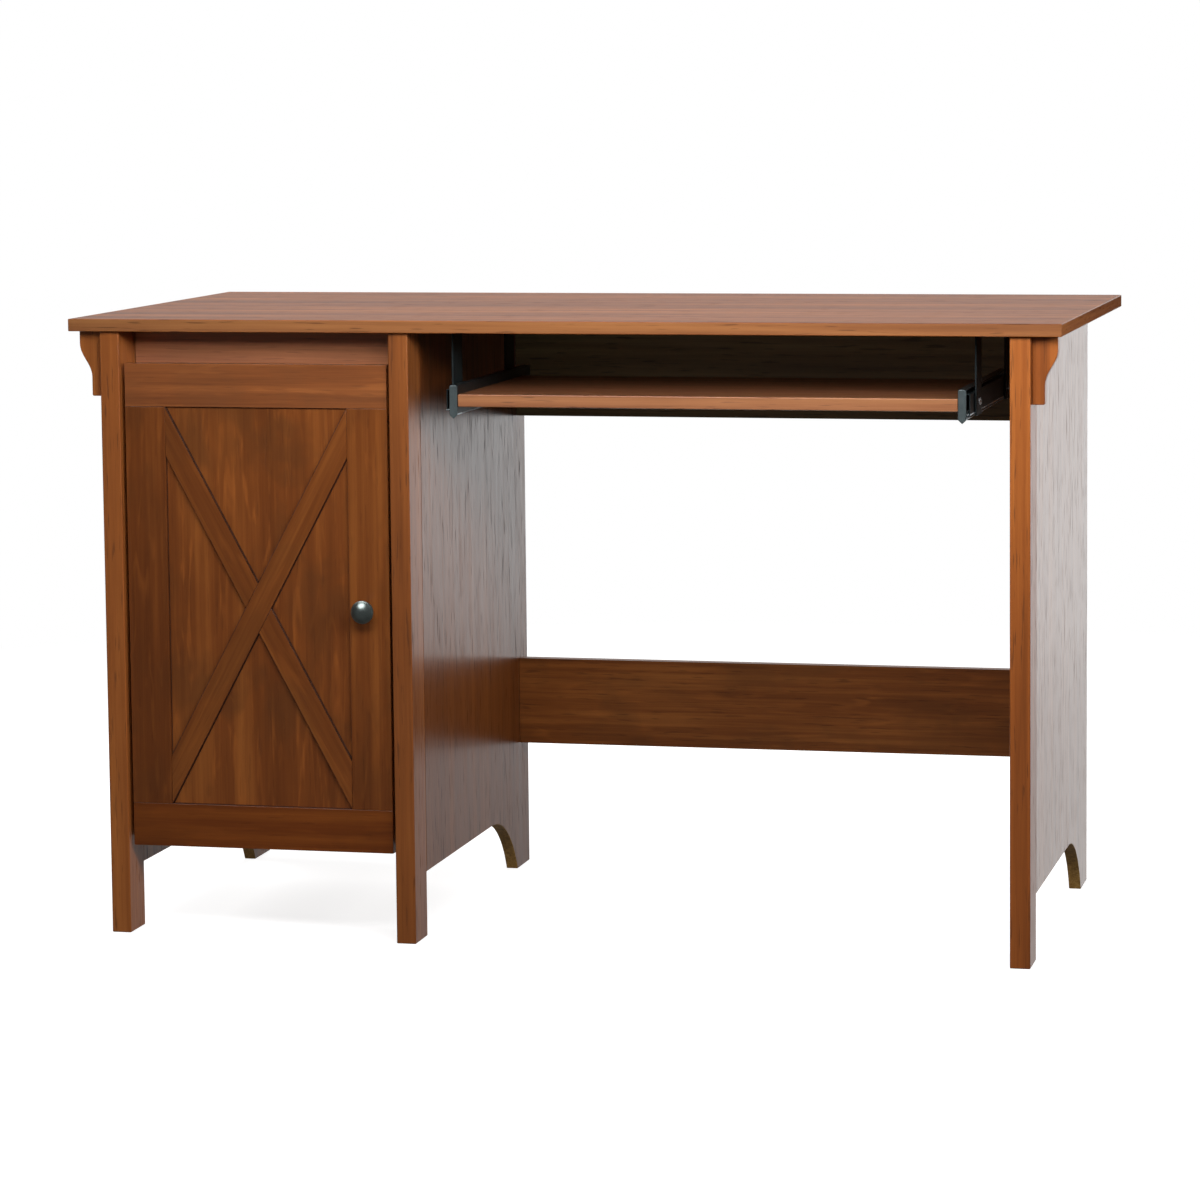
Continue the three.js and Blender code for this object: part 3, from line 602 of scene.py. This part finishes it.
# ---- metal ----
def turned(name, profile, origin, axis, finishes, spokes=48):
    """A profile of (distance along the axis, radius) turned round the axis; it starts and ends on it."""
    axis = Vector(axis).normalized()
    side = axis.orthogonal().normalized()
    other = axis.cross(side)
    angles = np.linspace(0, 2 * math.pi, spokes, endpoint=False)
    ring = np.outer(np.cos(angles), side) + np.outer(np.sin(angles), other)
    rim = np.array(profile[1:-1])
    rings = np.array(origin) + rim[:, 0, None, None] * np.array(axis) + rim[:, 1, None, None] * ring
    poles = np.array(origin) + np.array([[profile[0][0]], [profile[-1][0]]]) * np.array(axis)
    points = np.concatenate([rings.reshape(-1, 3), poles])
    faces = grid_faces(len(rim), spokes).tolist()
    start, end = len(points) - 2, len(points) - 1
    last = (len(rim) - 1) * spokes
    around = [(i, (i + 1) % spokes) for i in range(spokes)]
    faces += [[start, b, a] for a, b in around]
    faces += [[end, last + a, last + b] for a, b in around]
    return mesh_object(name, points, faces, finishes, smooth_of=[True] * len(faces))


def quadratic(a, b, c, steps=10):
    """A quadratic Bezier from a to c with handle b, without its first point."""
    t = np.linspace(0, 1, steps + 1)[1:, None]
    a, b, c = np.array(a), np.array(b), np.array(c)
    return [tuple(p) for p in (1 - t) ** 2 * a + 2 * (1 - t) * t * b + t ** 2 * c]


def make_knob():
    """A mushroom knob: a flared foot, a waist, a rounded rim and a shallow dome with a turned groove."""
    low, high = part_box("knob")
    length = (high.y - low.y) / MM
    radius = (high.x - low.x) / 2 / MM
    profile = [(0, 0), (0, 8.3)]
    profile += quadratic((0, 8.3), (0.5, 8.9), (1.2, 8.3), 4)
    profile += quadratic((1.2, 8.3), (3.5, 5.6), (7, 5.5))
    profile += quadratic((7, 5.5), (12, 6), (14, radius - 2.6))
    profile += quadratic((14, radius - 2.6), (14.8, radius), (17, radius), 6)
    profile += quadratic((17, radius), (18.4, radius), (18.8, radius - 1.2), 5)
    profile += quadratic((18.8, radius - 1.2), (18.6, radius - 1.7), (19.1, radius - 2.0), 3)
    profile += quadratic((19.1, radius - 2.0), (length - 0.4, radius - 6.5), (length, 0.6), 14)
    profile.append((length, 0))
    at = ((low.x + high.x) / 2, high.y, (low.z + high.z) / 2)
    profile = [(d * MM, r * MM) for d, r in profile]
    knob = turned("turned_knob", profile, at, (0, -1, 0), [PEWTER], 64)
    adopt(knob, "door", SLOT_OF["knob"], "knob")


def stamped_disc(name, centre, axis, radius, height, crown, arm, finishes, spokes=72, rows=26):
    """A round head with a cross recess.

    Over the disc, height falls from its full value by crown times the distance squared. Inside a cross
    of two bars, half as wide as 0.32 arm and as long as arm, it drops by 0.6 of the height.
    """
    axis = Vector(axis).normalized()
    side = axis.orthogonal().normalized()
    other = axis.cross(side)
    share = np.linspace(1, 0.0, rows)[:-1, None]
    angles = np.linspace(0, 2 * math.pi, spokes, endpoint=False)[None, :]
    x = share * np.cos(angles)
    y = share * np.sin(angles)
    narrow = np.minimum(abs(x), abs(y)) / (0.16 * arm)
    long = np.maximum(abs(x), abs(y)) / arm
    inside = np.clip(4 - 4 * narrow, 0, 1) * np.clip(8 - 8 * long, 0, 1)
    lift = height * (1 - crown * (x ** 2 + y ** 2)) - 0.6 * height * inside
    base = np.zeros((1, spokes, 3)) + np.stack([np.cos(angles), np.sin(angles), 0 * angles], axis=-1)
    base[..., :2] *= radius
    face = np.stack([x * radius, y * radius, lift], axis=-1)
    local = np.concatenate([base, face]).reshape(-1, 3)
    local = np.concatenate([local, [(0, 0, 0), (0, 0, 0.4 * height)]])
    points = np.array(centre) + local[:, :1] * np.array(side) + local[:, 1:2] * np.array(other) \
        + local[:, 2:] * np.array(axis)
    faces = grid_faces(rows, spokes).tolist()
    last = (rows - 1) * spokes
    around = [(i, (i + 1) % spokes) for i in range(spokes)]
    faces += [[len(points) - 2, b, a] for a, b in around]
    faces += [[len(points) - 1, last + a, last + b] for a, b in around]
    return mesh_object(name, points, faces, finishes, smooth_of=[False] * len(faces))


CAM_FACE = 2.0 * MM
SCREW_HEAD = 2.2 * MM


def make_cam_locks():
    for panel in ("modesty_panel", "stretcher"):
        for side in ("left", "right"):
            node = f"cam_lock_{panel}_{side}"
            low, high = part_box(node)
            middle = (low + high) / 2
            radius = (high.x - low.x) / 2
            at = (middle.x, high.y - CAM_FACE, middle.z)
            disc = stamped_disc(f"{node}_disc", at, (0, 1, 0), radius, CAM_FACE, 0.1, 0.7, [ZINC])
            adopt(disc, "desk", SLOT_OF[node], node)


def make_hanger_screws():
    for place in ("front_left", "front_right", "back_left", "back_right"):
        node = f"hanger_screw_{place}"
        low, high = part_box(node)
        middle = (low + high) / 2
        outward = -1 if place.endswith("left") else 1
        radius = (high.z - low.z) / 2
        seat = middle.x + outward * ((high.x - low.x) / 2 - SCREW_HEAD)
        head = stamped_disc(f"{node}_head", (seat, middle.y, middle.z), (outward, 0, 0), radius,
                            SCREW_HEAD, 0.45, 0.62, [NICKEL])
        adopt(head, "desk", SLOT_OF[node], node)


CAP_POINT = 4.5 * MM
CAP_DROP = 2 * MM               # the upper corners are cut off by this much down and CAP_CUT across
CAP_CUT = 1.4 * MM


def make_end_caps():
    """A cap on the front of each tray rail, with cut corners at the top and a point at the bottom."""
    for side in ("left", "right"):
        node = f"slide_end_cap_{side}"
        low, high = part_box(node)
        middle = (low.x + high.x) / 2
        outline = np.array([(low.x, low.z + CAP_POINT), (middle, low.z), (high.x, low.z + CAP_POINT),
                            (high.x, high.z - CAP_DROP), (high.x - CAP_CUT, high.z),
                            (low.x + CAP_CUT, high.z), (low.x, high.z - CAP_DROP)])
        cap = slab(f"{node}_plate", outline, "Y", low.y, high.y, 0.9 * MM, [SLIDE_GREY], steps=4)
        adopt(cap, "tray", SLOT_OF[node], node)


RAIL_WALL = 1.2 * MM
RIM_HIGHLIGHT_HEIGHT = 1.7 * MM
TOUCH = 0.01 * MM


def channel(node, web_on_right, body):
    """A C-shaped rail carried along Y, with its web on one side and its two lips on the other.

    A pale painted highlight runs along the bottom rim.
    """
    low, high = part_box(node)
    web, lip = (high.x, low.x) if web_on_right else (low.x, high.x)
    sign = -1 if web_on_right else 1
    outer = web + sign * RAIL_WALL
    rim = low.z + RIM_HIGHLIGHT_HEIGHT
    outline = np.array([(web, low.z), (lip, low.z), (lip, low.z + RAIL_WALL), (outer, low.z + RAIL_WALL),
                        (outer, high.z - RAIL_WALL), (lip, high.z - RAIL_WALL), (lip, high.z), (web, high.z),
                        (web, rim)])
    if sign < 0:
        outline = outline[::-1]
    # painted highlight: the faces along the bottom rim take the pale rim finish
    wear_and_sheen = np.maximum(outline, np.roll(outline, -1, axis=0))[:, 1] < rim + TOUCH
    rail = slab(f"{node}_channel", outline, "Y", low.y, high.y, 0.2 * MM, [RAIL_STEEL, RIM_HIGHLIGHT],
                wear_and_sheen.astype(int))
    adopt(rail, body, SLOT_OF[node], node)


def make_slides():
    for side, tray_on_right in (("left", True), ("right", False)):
        channel(f"tray_rail_{side}", tray_on_right, "tray")
        channel(f"desk_rail_{side}", not tray_on_right, "desk")


CARRIED = {
    "hanger_": GUNMETAL, "ball_retainer_": ZINC, "hinge_plate_": ZINC, "hinge_arm_": ZINC,
    "hinge_cup_": ZINC, "hinge_pin_": NICKEL, "shelf_pin_": ZINC, "knob_screw": NICKEL,
    "stretcher": FILM_STRETCHER, "modesty_panel": FILM_MODESTY,
}


def finish_carried_nodes():
    for node, made in frame["nodes"].items():
        for start, finish in CARRIED.items():
            if node.startswith(start) and not node.startswith("hanger_screw"):
                made.data.materials.clear()
                made.data.materials.append(finish)


make_boards()
for gable in ("left", "middle", "right"):
    make_gable(gable)
make_corbel("left", -1, FILM_LEG_LEFT)
make_corbel("right", 1, FILM_LEG_RIGHT)
make_door_panel()
make_braces()
make_grooves()
make_knob()
make_cam_locks()
make_hanger_screws()
make_end_caps()
make_slides()
finish_carried_nodes()


# ---- studio ----
FLOOR_HALF = 60.0
FLOOR_NEAR, FLOOR_FAR = 1.2, 2.6        # between these distances the floor fades into the backdrop


def pale_floor():
    """A pale floor that shows soft shadows near the desk and glows as the backdrop does farther off."""
    shader = Shader("studio floor")
    at = shader.place()
    distance = shader.node("ShaderNodeVectorMath", {"operation": "LENGTH"}, [at])[1]
    far = shader.grey(distance, FLOOR_NEAR, FLOOR_FAR)
    colour = shader.mix(far, (0.62, 0.62, 0.62, 1), (0.0, 0.0, 0.0, 1))
    glow = shader.mix(far, (0.80, 0.80, 0.80, 1), (1.0, 1.0, 1.0, 1))
    return shader.finish(Base_Color=colour, Roughness=0.9, Emission_Color=glow,
                         Emission_Strength=1.0, Specular_IOR_Level=0.0)


floor_points = np.array([(-1, -1), (1, -1), (1, 1), (-1, 1)]) * FLOOR_HALF
floor_points = np.concatenate([floor_points, np.full((4, 1), -0.2 * MM)], axis=1)
floor = mesh_object("floor", floor_points, [[0, 1, 2, 3]], [pale_floor()])
floor.visible_diffuse = False
floor.visible_glossy = False


def softbox(name, at, towards, size, power):
    lamp = bpy.data.lights.new(name, "AREA")
    lamp.shape = "RECTANGLE"
    lamp.size, lamp.size_y = size
    lamp.energy = power
    made = bpy.data.objects.new(name, lamp)
    made.location = at
    made.rotation_mode = "QUATERNION"
    made.rotation_quaternion = (Vector(towards) - Vector(at)).to_track_quat("-Z", "Y")
    made.visible_camera = False
    made.visible_glossy = False
    bpy.context.scene.collection.objects.link(made)
    return made


softbox("front softbox", (0.25, -1.12, 1.11), (0.1, -0.28, 0.69), (1.3, 0.35), 13.8)
softbox("overhead softbox", (0, 0.3, 2.6), (0, 0, 0.7), (2.0, 1.4), 18.0)
softbox("right softbox", (2.3, -1.5, 1.3), (0.3, -0.1, 0.4), (0.7, 0.5), 22.0)
softbox("back softbox", (-0.4, 2.8, 1.4), (0, 0.2, 0.4), (1.6, 1.2), 42.0)
softbox("left softbox", (-2.7, 0.4, 1.2), (-0.6, 0, 0.4), (1.4, 1.2), 30.0)


FRONT_GLOSS = 0.035     # how bright gloss sees the studio in front of the desk
LAMP_SEEN_IN_GLOSS = (-0.25, -0.62, 0.74)       # the way to the lamp that knob and screws mirror
AMBIENT = 0.12          # how much light rough surfaces get from the backdrop


def light_backdrop():
    """A white backdrop. Gloss sees it bright behind the desk, dim in front, grey high on the left, dark
    low on the right and brighter in a band ahead of that, with one lamp above the front. Rough surfaces
    get only a little light from it."""
    world = bpy.data.worlds.new("studio")
    world.use_nodes = True
    bpy.context.scene.world = world
    tree = world.node_tree
    tree.nodes.clear()

    def node(kind, settings=None, inputs=()):
        made = tree.nodes.new(kind)
        for key, value in (settings or {}).items():
            setattr(made, key, value)
        for place, value in enumerate(inputs):
            if isinstance(value, bpy.types.NodeSocket):
                tree.links.new(value, made.inputs[place])
            else:
                made.inputs[place].default_value = value
        return made.outputs

    def ramp(value, low, high, start, end):
        settings = {"interpolation_type": "SMOOTHSTEP"}
        return node("ShaderNodeMapRange", settings, [value, low, high, start, end])[0]

    def maths(operation, first, second):
        return node("ShaderNodeMath", {"operation": operation}, [first, second])[0]

    towards = node("ShaderNodeTexCoord")[0]
    x, y, z = node("ShaderNodeSeparateXYZ", {}, [towards])[:3]
    behind = ramp(y, 0.1, 0.7, FRONT_GLOSS, 1.0)
    low_right = maths("MULTIPLY", ramp(z, -0.146, -0.136, 1.0, 0.0), ramp(x, 0.15, 0.19, 0.0, 0.97))
    high_left = maths("MULTIPLY", ramp(z, -0.02, 0.04, 0.0, 1.0), ramp(x, -0.1, 0.06, 0.5, 0.0))
    near_right = maths("MULTIPLY", ramp(x, 0.0, 0.1, 0.0, 1.0), ramp(x, 0.16, 0.24, 0.35, 0.0))
    gloss = maths("SUBTRACT", behind, maths("MAXIMUM", low_right, high_left))
    gloss = maths("ADD", gloss, maths("MULTIPLY", near_right, ramp(y, 0.5, 0.9, 0.0, 1.0)))
    lamp = node("ShaderNodeVectorMath", {"operation": "DOT_PRODUCT"}, [towards, LAMP_SEEN_IN_GLOSS])["Value"]
    gloss = maths("ADD", gloss, ramp(lamp, 0.90, 0.96, 0.0, 7.0))
    path = node("ShaderNodeLightPath")
    gloss = maths("MULTIPLY", maths("MAXIMUM", gloss, 0.0), path["Is Glossy Ray"])
    rough = maths("MULTIPLY", path["Is Diffuse Ray"], AMBIENT)
    level = maths("ADD", maths("ADD", gloss, rough), path["Is Camera Ray"])
    background = node("ShaderNodeBackground", {}, [(1, 1, 1, 1), level])[0]
    node("ShaderNodeOutputWorld", {}, [background])


light_backdrop()

CAMERA_AT = (1.191, -4.943, 1.043)
CAMERA_LENS = 123.1
CAMERA_SHIFT = (-0.03, -0.10)
CAMERA_YAW, CAMERA_PITCH, CAMERA_ROLL = math.radians(13.20), math.radians(5.72), math.radians(-0.53)
camera_data = bpy.data.cameras.new("camera")
camera_data.sensor_width = 36
camera_data.lens = CAMERA_LENS
camera_data.shift_x, camera_data.shift_y = CAMERA_SHIFT
camera = bpy.data.objects.new("camera", camera_data)
turn = (Matrix.Rotation(CAMERA_YAW, 4, "Z") @ Matrix.Rotation(math.pi / 2 - CAMERA_PITCH, 4, "X")
        @ Matrix.Rotation(CAMERA_ROLL, 4, "Z"))
camera.matrix_world = Matrix.Translation(CAMERA_AT) @ turn
bpy.context.scene.collection.objects.link(camera)
bpy.context.scene.camera = camera
bpy.context.scene.view_settings.view_transform = "Standard"
